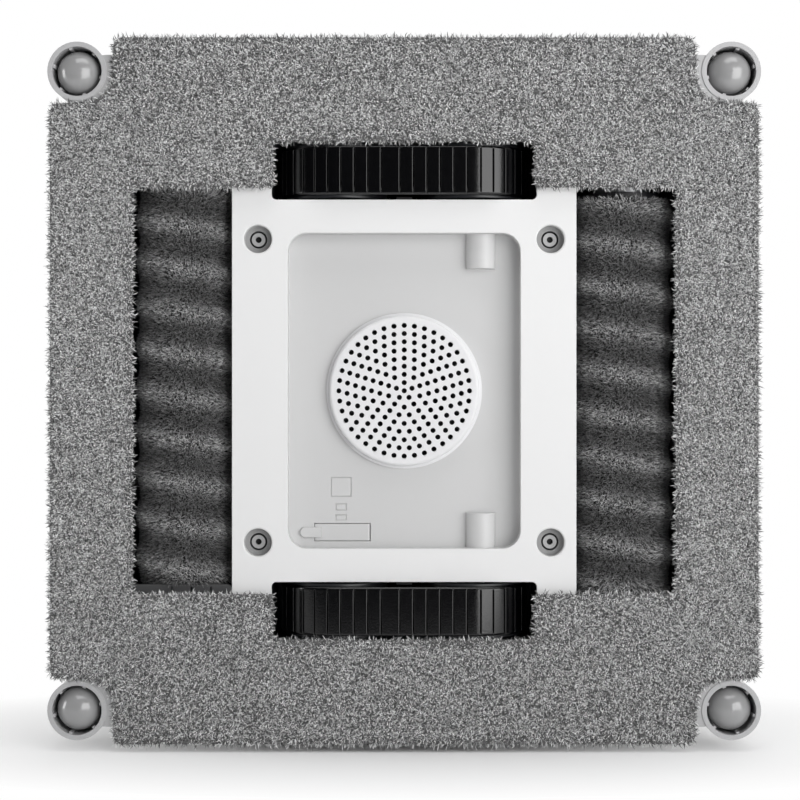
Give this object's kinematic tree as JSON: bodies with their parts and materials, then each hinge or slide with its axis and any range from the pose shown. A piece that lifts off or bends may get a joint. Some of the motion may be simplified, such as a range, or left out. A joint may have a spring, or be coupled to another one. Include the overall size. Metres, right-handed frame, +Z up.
{
  "type": "window cleaning robot",
  "caption": "Square window cleaning robot with a plush pad ring, plush rollers, rubber tracks, a suction recess with a fan grille, sprung edge feelers and a rounded back cover.",
  "frame": {"origin": "middle of the plane that the cleaning pad's pile touches, which is the glass side of the robot", "axes": "+X right and +Z up as seen from the glass side with the robot upright on an upright pane; +Y away from the pane, through the body to the back of the cover"},
  "size_m": [0.2506, 0.0901, 0.2484],
  "materials": {
    "white_shell": "satin white ABS",
    "white_grille": "fine matt white ABS",
    "grey_tray": "light grey ABS",
    "grey_cup": "light grey ABS",
    "clear_ring": "milky light guide",
    "dome": "polished grey acetal",
    "pad_plush": "cut microfibre plush, light grey",
    "roller_plush": "cut microfibre plush, dark grey",
    "hook": "hook tape",
    "track_rubber": "glossy black rubber",
    "gasket_foam": "closed-cell foam",
    "black_plastic": "black ABS",
    "grey_plastic": "grey acetal",
    "motor_steel": "plated motor can",
    "steel": "plated steel",
    "cell": "shrink-wrapped lithium cell",
    "board": "solder-masked circuit board"
  },
  "bodies": {
    "chassis": {"base_plate": "white_shell", "suction_tray": "grey_tray", "fan_grille": "white_grille", "plate_screws": "steel", "feeler_cups": "grey_cup", "top_cover": "white_shell", "exhaust_grille": "grey_tray", "light_ring": "clear_ring", "button_board": "board", "service_port": "steel", "power_inlet": "black_plastic", "rope_eye": "steel", "blower_housing": "black_plastic", "blower_gasket": "gasket_foam", "fan_motor": "motor_steel", "main_board": "board", "battery_cells": "cell", "battery_holder": "black_plastic", "track_motor_upper": "motor_steel", "track_motor_lower": "motor_steel", "track_belt_upper": "track_rubber", "track_belt_lower": "track_rubber", "track_well_upper": "black_plastic", "track_well_lower": "black_plastic", "idler_axle_upper": "steel", "idler_axle_lower": "steel", "roller_well_left": "black_plastic", "roller_well_right": "black_plastic", "roller_motor_left": "motor_steel", "roller_motor_right": "motor_steel", "roller_bush_left": "grey_plastic", "roller_bush_right": "grey_plastic", "roller_guards": "grey_plastic", "cleaning_pad": "pad_plush", "hook_tape": "hook", "feeler_switches": "black_plastic", "feeler_spring_upper_left": "steel", "feeler_spring_upper_right": "steel", "feeler_spring_lower_left": "steel", "feeler_spring_lower_right": "steel"},
    "fan_rotor": {"impeller": "grey_plastic", "fan_shaft": "steel"},
    "button": {"start_button": "white_shell"},
    "flap": {"port_flap": "grey_tray"},
    "drive_upper": {"drive_wheel_upper": "black_plastic", "drive_shaft_upper": "steel"},
    "idler_upper": {"idler_wheel_upper": "black_plastic"},
    "drive_lower": {"drive_wheel_lower": "black_plastic", "drive_shaft_lower": "steel"},
    "idler_lower": {"idler_wheel_lower": "black_plastic"},
    "roller_left": {"roller_tube_left": "black_plastic", "roller_pile_left": "roller_plush", "roller_cap_left": "grey_plastic"},
    "roller_right": {"roller_tube_right": "black_plastic", "roller_pile_right": "roller_plush", "roller_cap_right": "grey_plastic"},
    "feeler_upper_left": {"feeler_dome_upper_left": "dome"},
    "feeler_upper_right": {"feeler_dome_upper_right": "dome"},
    "feeler_lower_left": {"feeler_dome_lower_left": "dome"},
    "feeler_lower_right": {"feeler_dome_lower_right": "dome"}
  },
  "joints": [
    {"name": "fan_spin", "type": "hinge", "parent": "chassis", "child": "fan_rotor", "pos_m": [0, 0.03, 0], "axis": [0, 1, 0], "continuous": true},
    {"name": "start_press", "type": "slide", "parent": "chassis", "child": "button", "axis": [0, -1, 0], "range_m": [0, 0.0008], "stiffness_N_per_m": 600, "springref_m": -0.001},
    {"name": "flap_swing", "type": "hinge", "parent": "chassis", "child": "flap", "pos_m": [-0.0129, 0.0137, -0.0504], "axis": [0, 0, 1], "range_deg": [0, 95]},
    {"name": "drive_spin_upper", "type": "hinge", "parent": "chassis", "child": "drive_upper", "pos_m": [-0.0238, 0.022, 0.0776], "axis": [0, 0, 1], "continuous": true},
    {"name": "idler_spin_upper", "type": "hinge", "parent": "chassis", "child": "idler_upper", "pos_m": [0.0238, 0.022, 0.0776], "axis": [0, 0, 1], "continuous": true},
    {"name": "drive_spin_lower", "type": "hinge", "parent": "chassis", "child": "drive_lower", "pos_m": [0.0238, 0.022, -0.0776], "axis": [0, 0, 1], "continuous": true},
    {"name": "idler_spin_lower", "type": "hinge", "parent": "chassis", "child": "idler_lower", "pos_m": [-0.0238, 0.022, -0.0776], "axis": [0, 0, 1], "continuous": true},
    {"name": "roller_spin_left", "type": "hinge", "parent": "chassis", "child": "roller_left", "pos_m": [-0.078, 0.0205, 0.0015], "axis": [0, 0, 1], "continuous": true},
    {"name": "roller_spin_right", "type": "hinge", "parent": "chassis", "child": "roller_right", "pos_m": [0.078, 0.0205, -0.0015], "axis": [0, 0, 1], "continuous": true},
    {"name": "feeler_press_upper_left", "type": "slide", "parent": "chassis", "child": "feeler_upper_left", "axis": [0, 1, 0], "range_m": [0, 0.004], "stiffness_N_per_m": 150, "springref_m": -0.002, "deforming": ["feeler_spring_upper_left"]},
    {"name": "feeler_press_upper_right", "type": "slide", "parent": "chassis", "child": "feeler_upper_right", "axis": [0, 1, 0], "range_m": [0, 0.004], "stiffness_N_per_m": 150, "springref_m": -0.002, "deforming": ["feeler_spring_upper_right"]},
    {"name": "feeler_press_lower_left", "type": "slide", "parent": "chassis", "child": "feeler_lower_left", "axis": [0, 1, 0], "range_m": [0, 0.004], "stiffness_N_per_m": 150, "springref_m": -0.002, "deforming": ["feeler_spring_lower_left"]},
    {"name": "feeler_press_lower_right", "type": "slide", "parent": "chassis", "child": "feeler_lower_right", "axis": [0, 1, 0], "range_m": [0, 0.004], "stiffness_N_per_m": 150, "springref_m": -0.002, "deforming": ["feeler_spring_lower_right"]}
  ],
  "couplings": [
    {"joint": "idler_spin_upper", "follows": "drive_spin_upper", "ratio": 1},
    {"joint": "idler_spin_lower", "follows": "drive_spin_lower", "ratio": 1}
  ]
}
